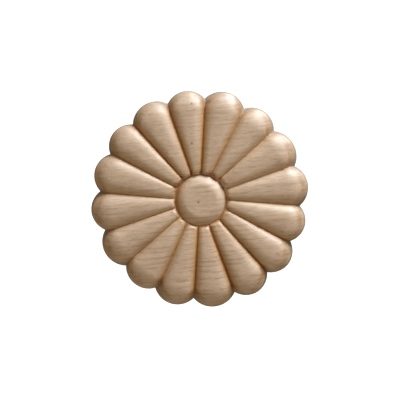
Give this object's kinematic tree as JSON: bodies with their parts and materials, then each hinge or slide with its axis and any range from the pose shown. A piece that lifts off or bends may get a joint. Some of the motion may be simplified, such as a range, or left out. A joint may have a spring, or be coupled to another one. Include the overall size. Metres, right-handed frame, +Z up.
{
  "type": "carved wood rosette onlay",
  "caption": "Round carved wooden rosette with rounded petals about a plain flat button, flat-backed, to be glued or pinned on furniture, doors or mantels as an ornament.",
  "frame": {"origin": "centre of the flat back", "axes": "+Z up, -Y the way the carved front faces, +Y into the face that it is fixed on, +X to the right as the front is seen"},
  "size_m": [0.0796, 0.0086, 0.0792],
  "materials": {
    "pale_wood": "pale fine-grained hardwood, sanded smooth with a soft satin sheen, warmer and darker in the cut grooves"
  },
  "bodies": {
    "root": {"rosette": "pale_wood"}
  },
  "joints": []
}
